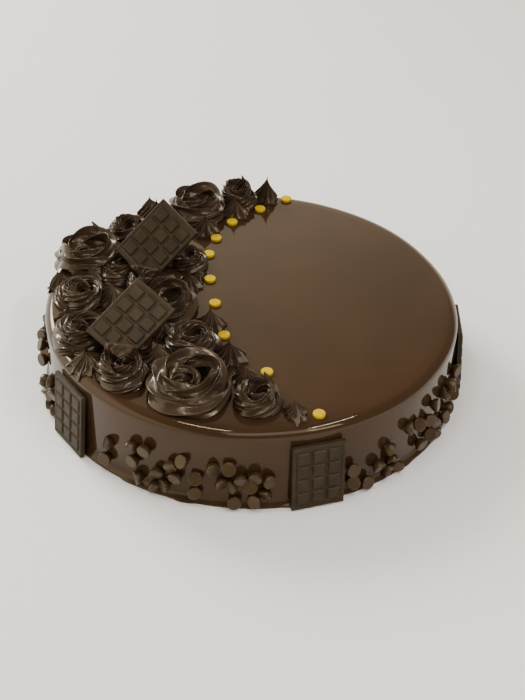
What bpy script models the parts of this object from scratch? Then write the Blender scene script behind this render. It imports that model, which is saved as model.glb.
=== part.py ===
"""Dutch truffle cake: a round glazed chocolate cake with a crescent of piped cream.

Metres, +Z up. The origin is the centre of the flat underside, and the front faces -Y.
The cake with its chocolate chips and sugar confetti is one solid. Every piped rose,
swirl and star drop and every moulded chocolate plaque is a solid of its own.
"""

import math
import random

import bmesh
import bpy
from mathutils import Matrix, Vector

MM = 0.001

# The cake: a ten-inch tin with cream and glaze round it.
CAKE_RADIUS = 130 * MM
CAKE_HEIGHT = 55 * MM
RIM_ROUNDING = 6 * MM
FOOT_FLARE = 2.5 * MM
FOOT_HEIGHT = 6 * MM
CAKE_SIDES = 60
GAP = 0.3 * MM

# Chocolate chips in the five stretches of wall between the side plaques, counted
# round from +X, with a seed for the draw in each.
CHIP_RADIUS = 4.3 * MM
CHIP_HEIGHT = 6.5 * MM
CHIP_SIDES = 6
CHIPS_PER_STRETCH = 25
CHIP_LOWEST = 4.5 * MM
CHIP_SPREAD = 27 * MM
CHIP_THINNING = 1.3
CHIP_APART = 7.2 * MM
CHIP_MARGIN = math.radians(9.5)
CHIP_BITE = 1.1 * MM
CHIP_SEEDS = (1, 2, 900426, 97610, 870456)

# Sugar confetti along the crescent's inner edge: an arc on the top, as centre,
# radius and the direction of each tablet from that centre, in degrees.
CONFETTI_RADIUS = 3.7 * MM
CONFETTI_THICKNESS = 2.0 * MM
CONFETTI_SIDES = 10
CONFETTI_ARC_CENTRE = (116.6 * MM, 17.4 * MM)
CONFETTI_PLACES = (
    (132.4, 140.3), (141.5, 143.9), (151.3, 149.8), (160.0, 150.6), (167.6, 149.0),
    (178.7, 143.8), (189.4, 141.5), (203.0, 144.4), (220.8, 140.5), (239.5, 150.2),
)

# Moulded plaques: a slab with a frame and a field of raised squares.
PLAQUE_WIDTH = 32 * MM
PLAQUE_LENGTH = 44.5 * MM
PLAQUE_SLAB = 2.4 * MM
PLAQUE_RELIEF = 0.9 * MM
PLAQUE_BEVEL = 0.7 * MM
PLAQUE_COLUMNS = 3
PLAQUE_ROWS = 4
PLAQUE_SIDE_FRAME = 1.9 * MM
PLAQUE_END_FRAME = 3.1 * MM
PLAQUE_GROOVE = 1.6 * MM
SIDE_PLAQUES = 5
SIDE_PLAQUE_LEAN = math.radians(4.0)

# Top plaques: centre of the back face (mm), the way the face looks, and the way up.
TOP_PLAQUES = {
    "top_plaque_1": ((-61.0, 26.0, 80.0), (-0.25, -0.74, 0.62), (0.67, 0.33, 0.67)),
    "top_plaque_2": ((-71.0, -55.0, 76.0), (-0.14, -0.55, 0.83), (0.66, 0.57, 0.49)),
}

# Piped cream on the top, as x, y, outer radius and height in mm, and the direction
# in degrees in which the rope of cream ends.
ROSES = {
    "rose_front": (-35, -91, 28.5, 18, -15),
    "rose_back": (-39, 102.5, 21.5, 17.5, 10),
    "rose_left": (-107.5, 41, 24.5, 18, 25),
    "rose_middle": (-53, -13, 21, 17, 60),
}
SWIRLS = {
    "swirl_front_left": (-75, -79, 18, 13.5, 0),
    "swirl_front_right": (4.5, -101.5, 15.5, 12, 10),
    "swirl_left": (-107, -5, 17.5, 13, 200),
    "swirl_rim": (-102, -45, 19, 13, 250),
    "swirl_inner_front": (-36, -48, 17.5, 12, 20),
    "swirl_inner_back": (-41.5, 38, 13, 12, 90),
    "swirl_between": (-66, 10, 15.5, 13, 320),
    "swirl_behind": (-84, 69, 17, 14, 140),
    "swirl_hidden": (-61, 51, 19, 13, 30),
    "swirl_below": (-74, -45, 15.5, 11, 180),
    "swirl_gap": (-85, 25, 14.5, 12, 300),
    "swirl_back_tip": (-12, 115, 14.5, 17, 20),
}
# Star drops, as x, y, radius and height in mm, and the way and length of the curl.
STARS = {
    "star_back_tip": (7.5, 120.5, 10.5, 21, 270, 2),
    "star_spike": (-65, 85, 12.5, 24, 220, 5),
    "star_inner_back": (-33, 77, 12.5, 15, 270, 1),
    "star_mid_back": (-41, 12, 11, 14, 230, 2),
    "star_dot_side": (-34.5, 21, 7.5, 8, 0, 0),
    "star_inner_mid": (-25, -31, 12, 16, 60, 2),
    "star_inner_front": (-13, -62, 13, 16, 250, 1),
    "star_link": (-3, -83, 11, 14, 120, 2),
    "star_last": (26.5, -111, 8, 12, 100, 1),
    "star_rim_front": (-97.5, -71, 13.5, 12, 200, 1),
    "star_under_plaque": (-55, -66, 12.5, 14, 60, 2),
    "star_left_inner": (-88, -5, 14, 14, 60, 2),
    "star_rim_left": (-123, 12, 10, 11, 190, 1),
    "star_back_inner": (-14, 100, 12, 16, 250, 1),
    "star_middle": (-84, -24, 14, 12, 60, 2),
    "star_top_back": (-57, 70, 12, 13, 30, 2),
    "star_rim_middle": (-113, -26, 10, 10, 190, 1),
    "star_beside_plaque": (-54, -38, 10, 11, 60, 1),
    "star_gap_back": (-83, 46, 9, 12, 120, 1),
    "star_gap_left": (-103, 18, 8.5, 11, 100, 1),
    "star_behind_spike": (-71, 101, 11, 13, 120, 1),
}
STAR_RIDGES = 6
STAR_VALLEY = 0.74
# A star whose foot trails away: the direction in degrees and the share of its radius.
STAR_TRAILS = {"star_last": (292, 0.85)}
PIPING_BASE = CAKE_HEIGHT + GAP

# The spiral of a rope of cream, as shares of the piece's radius: where its centre
# line starts and ends and its half width there; then how many turns it makes, and
# how high its outer end is, as a share of the piece's height.
HOLLOW_ROPE = (0.42, 0.70, 0.18, 0.30, 1.6, 0.66)
CLOSED_ROPE = (0.08, 0.66, 0.18, 0.36, 1.7, 0.72)
# The ridges that the star-shaped nozzle leaves along a rope of cream.
RIDGE_DEPTH = 0.16
RIDGE_TWIST = 1.1

COLOURS = {
    "glaze": ((0.075, 0.036, 0.024), 0.08),
    "cream": ((0.050, 0.024, 0.016), 0.22),
    "plaque": ((0.060, 0.034, 0.022), 0.45),
}


def clear_scene():
    for item in list(bpy.data.objects):
        bpy.data.objects.remove(item, do_unlink=True)


def make_material(name):
    colour, roughness = COLOURS[name]
    material = bpy.data.materials.new(name)
    material.use_nodes = True
    shader = material.node_tree.nodes["Principled BSDF"]
    shader.inputs["Base Color"].default_value = (*colour, 1.0)
    shader.inputs["Roughness"].default_value = roughness
    shader.inputs["Metallic"].default_value = 0.0
    return material


def add_object(name, bm, material, smooth_angle=40):
    """Turn a bmesh into a named, smooth-shaded object of the scene."""
    bmesh.ops.recalc_face_normals(bm, faces=bm.faces)
    mesh = bpy.data.meshes.new(name)
    bm.to_mesh(mesh)
    bm.free()
    mesh.materials.append(material)
    mesh.shade_smooth()
    mesh.set_sharp_from_angle(angle=math.radians(smooth_angle))
    item = bpy.data.objects.new(name, mesh)
    bpy.context.scene.collection.objects.link(item)
    return item


def add_ring(bm, points):
    return [bm.verts.new(point) for point in points]


def bridge(bm, lower, upper):
    """Join two rings of the same count with a band of quads."""
    count = len(lower)
    for i in range(count):
        j = (i + 1) % count
        bm.faces.new((lower[i], lower[j], upper[j], upper[i]))


def fan(bm, ring, apex):
    for i, vertex in enumerate(ring):
        bm.faces.new((vertex, ring[(i + 1) % len(ring)], apex))


def turned(bm, profile, sides):
    """Turn a profile of (radius, height) round +Z and close both ends flat."""
    rings = []
    for radius, height in profile:
        angles = [math.tau * k / sides for k in range(sides)]
        rings.append(add_ring(bm, [(radius * math.cos(a), radius * math.sin(a), height) for a in angles]))
    for lower, upper in zip(rings, rings[1:]):
        bridge(bm, lower, upper)
    bm.faces.new(reversed(rings[0]))
    bm.faces.new(rings[-1])


def cake_profile():
    """Outline of the wall: a flared foot, a straight wall and a rounded top edge."""
    profile = []
    for k in range(3):
        t = k / 2
        profile.append((CAKE_RADIUS + FOOT_FLARE * (1 - t) ** 2, FOOT_HEIGHT * t))
    for k in range(5):
        angle = math.radians(90 * k / 4)
        radius = CAKE_RADIUS - RIM_ROUNDING * (1 - math.cos(angle))
        height = CAKE_HEIGHT - RIM_ROUNDING * (1 - math.sin(angle))
        profile.append((radius, height))
    return profile


def side_plaque_angle(index):
    return math.tau * index / SIDE_PLAQUES


def chip_places():
    """Places and tilts of the chips, by a seeded draw in each stretch between plaques.

    The chips lie heaped against the wall, closer together the nearer they are to the
    ground. A chip that would nearly touch another is drawn again.
    """
    stretch = math.tau / SIDE_PLAQUES - 2 * CHIP_MARGIN
    radius = CAKE_RADIUS + CHIP_RADIUS
    places = []
    for index, seed in enumerate(CHIP_SEEDS):
        draw = random.Random(seed)
        heap = []
        while len(heap) < CHIPS_PER_STRETCH:
            angle = side_plaque_angle(index) + CHIP_MARGIN + draw.random() * stretch
            height = CHIP_LOWEST + CHIP_SPREAD * draw.random() ** CHIP_THINNING
            tilt = (draw.uniform(-50, 50), draw.uniform(-35, 35))
            centre = Vector((radius * math.cos(angle), radius * math.sin(angle), height))
            if all((centre - other[0]).length > CHIP_APART for other in heap):
                heap.append((centre, angle, tilt))
        places += heap
    return places


def chip_frame(centre, angle, tilt):
    """Frame of a chip whose +Z points from the flat base to the tip, into the wall."""
    inward = Matrix.Rotation(angle, 4, "Z") @ Matrix.Rotation(math.radians(-90), 4, "Y")
    sway = Matrix.Rotation(math.radians(tilt[0]), 4, "X") @ Matrix.Rotation(math.radians(tilt[1]), 4, "Y")
    return Matrix.Translation(centre) @ inward @ sway


def chip_mesh():
    """A drop-shaped chip: a flat round base, a shoulder and a blunt tip."""
    bm = bmesh.new()
    rings = []
    for radius, height in ((1.0, -0.45), (0.86, -0.02)):
        points = []
        for k in range(CHIP_SIDES):
            a = math.tau * k / CHIP_SIDES
            points.append((radius * CHIP_RADIUS * math.cos(a), radius * CHIP_RADIUS * math.sin(a),
                           height * CHIP_HEIGHT))
        rings.append(add_ring(bm, points))
    bridge(bm, rings[0], rings[1])
    bm.faces.new(reversed(rings[0]))
    fan(bm, rings[1], bm.verts.new((0, 0, 0.55 * CHIP_HEIGHT)))
    return bm


def press_to_wall(mesh, angle):
    """Lift a chip clear of the ground and press it into the wall by the bite."""
    lowest = min(vertex.co.z for vertex in mesh.vertices)
    nearest = min(math.hypot(vertex.co.x, vertex.co.y) for vertex in mesh.vertices)
    inward = nearest - (CAKE_RADIUS - CHIP_BITE)
    lift = max(0.0, GAP - lowest)
    mesh.transform(Matrix.Translation((-inward * math.cos(angle), -inward * math.sin(angle), lift)))


def confetti_centres():
    centres = []
    for direction, reach in CONFETTI_PLACES:
        a = math.radians(direction)
        x = CONFETTI_ARC_CENTRE[0] + reach * MM * math.cos(a)
        y = CONFETTI_ARC_CENTRE[1] + reach * MM * math.sin(a)
        centres.append((x, y))
    return centres


def add_toppings(collection, material):
    """Chips and confetti as loose solids in a collection, ready to be fused."""
    for number, (centre, angle, tilt) in enumerate(chip_places()):
        item = add_object(f"chip_{number:03d}", chip_mesh(), material)
        item.data.transform(chip_frame(centre, angle, tilt))
        press_to_wall(item.data, angle)
        collection.objects.link(item)
    for number, (x, y) in enumerate(confetti_centres()):
        bm = bmesh.new()
        edge = 0.35 * MM
        bottom = CAKE_HEIGHT - 1 * MM
        top = CAKE_HEIGHT + CONFETTI_THICKNESS
        turned(bm, ((CONFETTI_RADIUS, bottom), (CONFETTI_RADIUS, top - edge),
                    (CONFETTI_RADIUS - edge, top)), CONFETTI_SIDES)
        item = add_object(f"confetti_{number:02d}", bm, material)
        item.data.transform(Matrix.Translation((x, y, 0)))
        collection.objects.link(item)


def apply_modifiers(item):
    """Bake the object's modifiers into its mesh."""
    graph = bpy.context.evaluated_depsgraph_get()
    graph.update()
    baked = bpy.data.meshes.new_from_object(item.evaluated_get(graph))
    item.modifiers.clear()
    item.data = baked


def build_cake(material):
    """The glazed cake with its chips and confetti fused to it."""
    bm = bmesh.new()
    turned(bm, cake_profile(), CAKE_SIDES)
    cake = add_object("cake", bm, material)
    toppings = bpy.data.collections.new("toppings")
    bpy.context.scene.collection.children.link(toppings)
    add_toppings(toppings, material)
    union = cake.modifiers.new("fuse toppings", "BOOLEAN")
    union.operation = "UNION"
    union.operand_type = "COLLECTION"
    union.collection = toppings
    union.solver = "EXACT"
    apply_modifiers(cake)
    for item in list(toppings.objects):
        bpy.data.objects.remove(item, do_unlink=True)
    bpy.data.collections.remove(toppings)
    cake.data.shade_smooth()
    cake.data.set_sharp_from_angle(angle=math.radians(35))
    return cake


def plaque_mesh():
    """A plaque whose back lies on z = 0, centred on x and y, with its face up +Z."""
    bm = bmesh.new()
    half_width = PLAQUE_WIDTH / 2
    half_length = PLAQUE_LENGTH / 2
    field_width = PLAQUE_WIDTH - 2 * PLAQUE_SIDE_FRAME
    field_length = PLAQUE_LENGTH - 2 * PLAQUE_END_FRAME
    column = field_width / PLAQUE_COLUMNS
    row = field_length / PLAQUE_ROWS
    xs = [-half_width]
    for k in range(PLAQUE_COLUMNS):
        start = -field_width / 2 + k * column
        xs += [start + PLAQUE_GROOVE / 2, start + column - PLAQUE_GROOVE / 2]
    xs.append(half_width)
    ys = [-half_length]
    for k in range(PLAQUE_ROWS):
        start = -field_length / 2 + k * row
        ys += [start + PLAQUE_GROOVE / 2, start + row - PLAQUE_GROOVE / 2]
    ys.append(half_length)
    top = PLAQUE_SLAB
    grid = [[bm.verts.new((x, y, top)) for y in ys] for x in xs]
    squares = []
    for i in range(len(xs) - 1):
        for j in range(len(ys) - 1):
            face = bm.faces.new((grid[i][j], grid[i + 1][j], grid[i + 1][j + 1], grid[i][j + 1]))
            if i % 2 == 1 and j % 2 == 1:
                squares.append(face)
    rim = [grid[i][0] for i in range(len(xs))]
    rim += [grid[-1][j] for j in range(1, len(ys))]
    rim += [grid[i][-1] for i in range(len(xs) - 2, -1, -1)]
    rim += [grid[0][j] for j in range(len(ys) - 2, 0, -1)]
    back = [bm.verts.new((vertex.co.x, vertex.co.y, 0)) for vertex in rim]
    bridge(bm, back, rim)
    bm.faces.new(reversed(back))
    bmesh.ops.inset_individual(bm, faces=squares, thickness=PLAQUE_BEVEL, depth=0)
    for face in squares:
        for vertex in face.verts:
            vertex.co.z += PLAQUE_RELIEF
    return bm


def plaque_frame(centre, face, up):
    """Frame whose +Z is the way the face looks and whose +Y is the way up the plaque."""
    normal = Vector(face).normalized()
    rise = Vector(up)
    rise = (rise - normal * rise.dot(normal)).normalized()
    across = rise.cross(normal)
    frame = Matrix((across, rise, normal)).transposed().to_4x4()
    frame.translation = Vector(centre)
    return frame


def side_plaque_frame(index):
    """A side plaque stands on its short edge and leans its back against the wall."""
    angle = side_plaque_angle(index)
    outward = Vector((math.cos(angle), math.sin(angle), 0))
    up = -outward * math.sin(SIDE_PLAQUE_LEAN) + Vector((0, 0, math.cos(SIDE_PLAQUE_LEAN)))
    face = outward * math.cos(SIDE_PLAQUE_LEAN) + Vector((0, 0, math.sin(SIDE_PLAQUE_LEAN)))
    top_of_back = outward * (CAKE_RADIUS + GAP)
    top_of_back.z = PLAQUE_LENGTH * math.cos(SIDE_PLAQUE_LEAN) + GAP
    return plaque_frame(top_of_back - up * PLAQUE_LENGTH / 2, face, up)


def build_plaques(material):
    for index in range(SIDE_PLAQUES):
        item = add_object(f"side_plaque_{index + 1}", plaque_mesh(), material, 30)
        item.matrix_world = side_plaque_frame(index)
    for name, (centre, face, up) in TOP_PLAQUES.items():
        item = add_object(name, plaque_mesh(), material, 30)
        item.matrix_world = plaque_frame([MM * value for value in centre], face, up)


def piping_discs():
    """Every piped piece as a disc: x, y and radius in metres."""
    discs = {}
    for group in (ROSES, SWIRLS, STARS):
        for name, values in group.items():
            discs[name] = tuple(MM * value for value in values[:3])
    return discs


def dividing_lines(name, discs):
    """Straight lines that keep a piece clear of each neighbour that it meets.

    Each is a direction from the piece's centre and a distance along it. Where two
    discs overlap, the line is their common chord. A confetti tablet is passed whole.
    """
    x, y, radius = discs[name]
    lines = []
    for other, (other_x, other_y, other_radius) in discs.items():
        away = Vector((other_x - x, other_y - y))
        distance = away.length
        if other != name and distance < radius + other_radius + GAP:
            chord = (distance ** 2 + radius ** 2 - other_radius ** 2) / (2 * distance)
            lines.append((away / distance, chord - GAP / 2))
    for tablet_x, tablet_y in confetti_centres():
        away = Vector((tablet_x - x, tablet_y - y))
        distance = away.length
        if distance < radius + CONFETTI_RADIUS + GAP:
            lines.append((away / distance, distance - CONFETTI_RADIUS - GAP))
    return lines


def keep_clear(point, lines):
    """Pull a point back over each dividing line that it has crossed."""
    flat = Vector((point[0], point[1]))
    for direction, reach in lines:
        flat -= direction * max(0.0, flat.dot(direction) - reach)
    return Vector((flat.x, flat.y, point[2]))


def rope_height(share, angle, rope, finish):
    """Top of a spiral rope of cream at a place, as a share of its height; 0 beside it."""
    start, end, thin, thick, turns, low = rope
    last = math.tau * turns
    first = (angle - finish) % math.tau
    best = 0.0
    for lap in range(3):
        along = last - ((-first) % math.tau) - math.tau * lap
        if along < 0:
            break
        u = along / last
        centre = start + (end - start) * math.sqrt(u)
        half = thin + (thick - thin) * min(1.0, 2.2 * u)
        crown = min(0.60 + 2.0 * u, 1 - (1 - low) * u)
        beside = abs(share - centre) / half
        if beside < 1:
            best = max(best, crown * (0.46 + 0.54 * math.sqrt(1 - beside ** 2)))
    return best


def rosette_mesh(values, lines, around, rings, ridges, hollow):
    """A rope of cream wound in a spiral, as one ridged solid with a flat underside."""
    _, _, radius, height, finish = values
    radius *= MM
    height *= MM
    rope = HOLLOW_ROPE if hollow else CLOSED_ROPE
    finish = math.radians(finish)
    bm = bmesh.new()
    loops = []
    for spread, lift in ((0.90, 0.0), (1.0, 0.28)):
        points = []
        for k in range(around):
            a = math.tau * k / around
            ridge = 1 - 0.5 * RIDGE_DEPTH * (1 - math.cos(ridges * (a - RIDGE_TWIST))) / 2
            reach = radius * spread * ridge
            point = keep_clear((reach * math.cos(a), reach * math.sin(a), lift * height), lines)
            points.append(point)
        loops.append(add_ring(bm, points))
    for step in range(rings):
        share = 1 - (step + 0.8) / (rings + 0.4)
        points = []
        for k in range(around):
            a = math.tau * k / around
            rise = rope_height(share, a, rope, finish)
            ridge = 1 - RIDGE_DEPTH * (1 - math.cos(ridges * (a - RIDGE_TWIST * share))) / 2
            lift = height * max(0.22, rise) * ridge
            flat = keep_clear((share * radius * math.cos(a), share * radius * math.sin(a), lift), lines)
            points.append(flat)
        loops.append(add_ring(bm, points))
    for lower, upper in zip(loops, loops[1:]):
        bridge(bm, lower, upper)
    bm.faces.new(reversed(loops[0]))
    middle = height * max(0.25, rope_height(0, 0, rope, finish))
    fan(bm, loops[-1], bm.verts.new((0, 0, middle)))
    return bm


def star_mesh(values, lines, trail):
    """A star drop: ridges that twist up from a round foot into a pulled tip."""
    _, _, radius, height, way, curl = values
    trail_way, trail_share = trail
    radius *= MM
    height *= MM
    lean = Vector((math.cos(math.radians(way)), math.sin(math.radians(way)))) * curl * MM
    bm = bmesh.new()
    loops = []
    for level, width in ((0.0, 1.0), (0.28, 0.68), (0.65, 0.26)):
        points = []
        for k in range(2 * STAR_RIDGES):
            a = math.tau * k / (2 * STAR_RIDGES) + 0.5 * level
            reach = radius * width * (1.0 if k % 2 == 0 else STAR_VALLEY)
            facing = max(0.0, math.cos(a - math.radians(trail_way)))
            reach *= 1 + trail_share * facing ** 6 * (1 - level) ** 2
            x = reach * math.cos(a) + lean.x * level ** 2
            y = reach * math.sin(a) + lean.y * level ** 2
            points.append(keep_clear((x, y, level * height), lines))
        loops.append(add_ring(bm, points))
    for lower, upper in zip(loops, loops[1:]):
        bridge(bm, lower, upper)
    bm.faces.new(reversed(loops[0]))
    tip = keep_clear((lean.x, lean.y, height), lines)
    fan(bm, loops[-1], bm.verts.new(tip))
    return bm


def plaque_cutter(name, frame, forward):
    """A block that clears the cream on one side of a leaning plaque."""
    bm = bmesh.new()
    reach = 80 * MM
    near = -GAP if forward else PLAQUE_SLAB + PLAQUE_RELIEF + GAP
    far = reach if forward else -reach
    low, high = sorted((near, far))
    bmesh.ops.create_cube(bm, size=1.0)
    size = Vector((PLAQUE_WIDTH + 2 * GAP, PLAQUE_LENGTH + 2 * GAP, high - low))
    bmesh.ops.scale(bm, vec=size, verts=bm.verts)
    bmesh.ops.translate(bm, vec=(0, 0, (low + high) / 2), verts=bm.verts)
    bm.transform(frame)
    mesh = bpy.data.meshes.new(name)
    bm.to_mesh(mesh)
    bm.free()
    cutter = bpy.data.objects.new(name, mesh)
    cutter.hide_render = True
    cutter.display_type = "WIRE"
    bpy.context.scene.collection.objects.link(cutter)
    return cutter


def clear_of_plaques(item):
    """Cut a piped piece where a leaning plaque stands in it."""
    corners = [item.matrix_world @ Vector(corner) for corner in item.bound_box]
    middle = sum(corners, Vector()) / 8
    for name, (centre, face, up) in TOP_PLAQUES.items():
        frame = plaque_frame([MM * value for value in centre], face, up)
        local = frame.inverted() @ middle
        if math.hypot(local.x, local.y) > 55 * MM:
            continue
        cutter = plaque_cutter(f"cutter_{name}", frame, local.z < 0)
        cut = item.modifiers.new("clear of plaque", "BOOLEAN")
        cut.operation = "DIFFERENCE"
        cut.object = cutter
        cut.solver = "EXACT"
        apply_modifiers(item)
        bpy.data.objects.remove(cutter, do_unlink=True)


def build_piping(material):
    """The crescent of roses, swirls and star drops, each clear of its neighbours."""
    discs = piping_discs()
    for name, values in ROSES.items():
        bm = rosette_mesh(values, dividing_lines(name, discs), 24, 6, 8, True)
        place_piping(name, values, bm, material)
    for name, values in SWIRLS.items():
        bm = rosette_mesh(values, dividing_lines(name, discs), 18, 4, 6, False)
        place_piping(name, values, bm, material)
    for name, values in STARS.items():
        bm = star_mesh(values, dividing_lines(name, discs), STAR_TRAILS.get(name, (0, 0)))
        place_piping(name, values, bm, material)


def place_piping(name, values, bm, material):
    item = add_object(name, bm, material, 25)
    item.location = (values[0] * MM, values[1] * MM, PIPING_BASE)
    bpy.context.view_layer.update()
    clear_of_plaques(item)


def main():
    clear_scene()
    materials = {name: make_material(name) for name in COLOURS}
    build_cake(materials["glaze"])
    build_piping(materials["cream"])
    build_plaques(materials["plaque"])


main()
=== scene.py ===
import math
import random

import bpy
import numpy as np
from mathutils import Matrix, Vector


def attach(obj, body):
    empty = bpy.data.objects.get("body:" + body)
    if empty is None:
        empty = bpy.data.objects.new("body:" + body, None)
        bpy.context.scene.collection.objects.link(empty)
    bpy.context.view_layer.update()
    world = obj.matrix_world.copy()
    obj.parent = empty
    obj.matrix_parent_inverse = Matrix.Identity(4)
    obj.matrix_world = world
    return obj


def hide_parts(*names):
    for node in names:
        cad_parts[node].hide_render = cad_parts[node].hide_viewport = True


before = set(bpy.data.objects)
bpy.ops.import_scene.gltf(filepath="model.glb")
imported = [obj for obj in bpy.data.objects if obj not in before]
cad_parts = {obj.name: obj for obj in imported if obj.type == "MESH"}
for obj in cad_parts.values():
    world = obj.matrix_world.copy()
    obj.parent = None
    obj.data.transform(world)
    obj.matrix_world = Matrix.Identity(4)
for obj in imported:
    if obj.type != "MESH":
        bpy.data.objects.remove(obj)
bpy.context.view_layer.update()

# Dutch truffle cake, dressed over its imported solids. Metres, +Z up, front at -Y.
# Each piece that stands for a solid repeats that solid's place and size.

MM = 0.001
TURN = math.tau

# The cake under its glaze, the points round it, and the ring that closes its top.
CAKE_RADIUS = 130 * MM
CAKE_HEIGHT = 55 * MM
RIM_ROUNDING = 6 * MM
FOOT_FLARE = 2.5 * MM
FOOT_HEIGHT = 6 * MM
CAKE_AROUND = 360
INNERMOST_RING = 4 * MM
GAP = 0.3 * MM

# The glaze swells and sinks by sines of the angle: waves round the cake, where they
# start, how they drift from foot to top, and their share.
GLAZE_WAVE = 0.28 * MM
GLAZE_WAVES = ((3, 0.8, 1.2, 1.0), (7, 0.0, 2.1, 0.6), (13, 1.0, -3.0, 0.35))
# Pools of glaze at the foot: how far they run out, how high they reach, and their sines.
POOL_REACH = 0.96 * MM
POOL_HEIGHT = 1.6 * MM
POOL_WAVES = ((9, 0.5, 0.0, 1.0), (23, 0.0, 0.0, 0.7), (41, 2.0, 0.0, 0.4))

# Chocolate chips in the five stretches of wall between the side plaques, counted
# round from +X, with a seed for the draw in each. Tilts are in degrees.
CHIP_RADIUS = 4.3 * MM
CHIP_HEIGHT = 6.5 * MM
CHIP_AROUND = 12
CHIPS_PER_STRETCH = 25
CHIP_LOWEST = 4.5 * MM
CHIP_SPREAD = 27 * MM
CHIP_THINNING = 1.3
CHIP_APART = 7.2 * MM
CHIP_MARGIN = math.radians(9.5)
CHIP_TILTS = (50, 35)
CHIP_BITE = 1.1 * MM
CHIP_SEEDS = (1, 2, 900426, 97610, 870456)
# Outline of a chip, base to tip, as shares of its radius and height.
CHIP_OUTLINE = ((0.90, -0.45), (1.0, -0.39), (1.0, -0.22), (0.90, 0.0), (0.66, 0.20),
                (0.36, 0.36), (0.16, 0.50))

# Sugar confetti on an arc: direction in degrees and reach in mm from its centre.
CONFETTI_RADIUS = 3.7 * MM
CONFETTI_THICKNESS = 2.0 * MM
CONFETTI_EDGE = 0.5 * MM
CONFETTI_SUNK = 0.4 * MM
CONFETTI_FOOT = 0.1 * MM
CONFETTI_CROWN = 0.1 * MM
CONFETTI_AROUND = 28
CONFETTI_ARC_CENTRE = (116.6 * MM, 17.4 * MM)
CONFETTI_ARC = (
    (132.4, 140.3), (141.5, 143.9), (151.3, 149.8), (160.0, 150.6), (167.6, 149.0),
    (178.7, 143.8), (189.4, 141.5), (203.0, 144.4), (220.8, 140.5), (239.5, 150.2),
)

# Moulded plaques: a slab with a raised frame round a field of raised squares.
PLAQUE_WIDTH = 32 * MM
PLAQUE_LENGTH = 44.5 * MM
PLAQUE_SLAB = 2.4 * MM
PLAQUE_RELIEF = 1.1 * MM
PLAQUE_FRAME_RISE = 0.45 * MM
PLAQUE_FRAME_SLOPE = 0.25 * MM
PLAQUE_BEVEL = 0.85 * MM
PLAQUE_EDGE = 0.5 * MM
PLAQUE_COLUMNS = 3
PLAQUE_ROWS = 4
PLAQUE_SIDE_FRAME = 1.9 * MM
PLAQUE_END_FRAME = 3.1 * MM
PLAQUE_GROOVE = 1.1 * MM
# Grid lines across the slope of a square, as shares of the bevel.
PLAQUE_SLOPE_LINES = (-0.12, 0.0, 0.12, 0.88, 1.0, 1.12)
SIDE_PLAQUES = 5
SIDE_PLAQUE_LEAN = math.radians(4.0)

# Top plaques: centre of the back face (mm), the way the face looks, and the way up.
TOP_PLAQUES = {
    "top_plaque_1": ((-61.0, 26.0, 80.0), (-0.25, -0.74, 0.62), (0.67, 0.33, 0.67)),
    "top_plaque_2": ((-71.0, -55.0, 76.0), (-0.14, -0.55, 0.83), (0.66, 0.57, 0.49)),
}

# Piped cream, as x, y, outer radius and height in mm, and the direction in degrees
# in which the rope of cream ends.
ROSES = {
    "rose_front": (-35, -91, 28.5, 18, -15),
    "rose_back": (-39, 102.5, 21.5, 17.5, 10),
    "rose_left": (-107.5, 41, 24.5, 18, 25),
    "rose_middle": (-53, -13, 21, 17, 60),
}
SWIRLS = {
    "swirl_front_left": (-75, -79, 18, 13.5, 0),
    "swirl_front_right": (4.5, -101.5, 15.5, 12, 10),
    "swirl_left": (-107, -5, 17.5, 13, 200),
    "swirl_rim": (-102, -45, 19, 13, 250),
    "swirl_inner_front": (-36, -48, 17.5, 12, 20),
    "swirl_inner_back": (-41.5, 38, 13, 12, 90),
    "swirl_between": (-66, 10, 15.5, 13, 320),
    "swirl_behind": (-84, 69, 17, 14, 140),
    "swirl_hidden": (-61, 51, 19, 13, 30),
    "swirl_below": (-74, -45, 15.5, 11, 180),
    "swirl_gap": (-85, 25, 14.5, 12, 300),
    "swirl_back_tip": (-12, 115, 14.5, 17, 20),
}
# Star drops, as x, y, radius and height in mm, and the way and length of the curl.
STARS = {
    "star_back_tip": (7.5, 120.5, 10.5, 21, 270, 2),
    "star_spike": (-65, 85, 12.5, 24, 220, 5),
    "star_inner_back": (-33, 77, 12.5, 15, 270, 1),
    "star_mid_back": (-41, 12, 11, 14, 230, 2),
    "star_dot_side": (-34.5, 21, 7.5, 8, 0, 0),
    "star_inner_mid": (-25, -31, 12, 16, 60, 2),
    "star_inner_front": (-13, -62, 13, 16, 250, 1),
    "star_link": (-3, -83, 11, 14, 120, 2),
    "star_last": (26.5, -111, 8, 12, 100, 1),
    "star_rim_front": (-97.5, -71, 13.5, 12, 200, 1),
    "star_under_plaque": (-55, -66, 12.5, 14, 60, 2),
    "star_left_inner": (-88, -5, 14, 14, 60, 2),
    "star_rim_left": (-123, 12, 10, 11, 190, 1),
    "star_back_inner": (-14, 100, 12, 16, 250, 1),
    "star_middle": (-84, -24, 14, 12, 60, 2),
    "star_top_back": (-57, 70, 12, 13, 30, 2),
    "star_rim_middle": (-113, -26, 10, 10, 190, 1),
    "star_beside_plaque": (-54, -38, 10, 11, 60, 1),
    "star_gap_back": (-83, 46, 9, 12, 120, 1),
    "star_gap_left": (-103, 18, 8.5, 11, 100, 1),
    "star_behind_spike": (-71, 101, 11, 13, 120, 1),
}
# A star whose foot runs out one way: that way in degrees, and how much further.
STAR_TRAILS = {"star_last": (292, 0.85)}
# Ribs of a star, their valleys and crests, the points along it and from rib to rib.
STAR_RIDGES = 9
STAR_VALLEY = 0.52
STAR_CREST = 0.50
STAR_ROWS = 44
STAR_PER_RIDGE = 10
# A star turns by this many radians up to its tip. Its width falls by a power of what
# is left of its height, fuller by a share in the middle, to the share left at the tip.
STAR_TURN = 0.9
STAR_FALL = 2.2
STAR_FULLNESS = 1.4
STAR_TIP = 0.012
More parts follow.
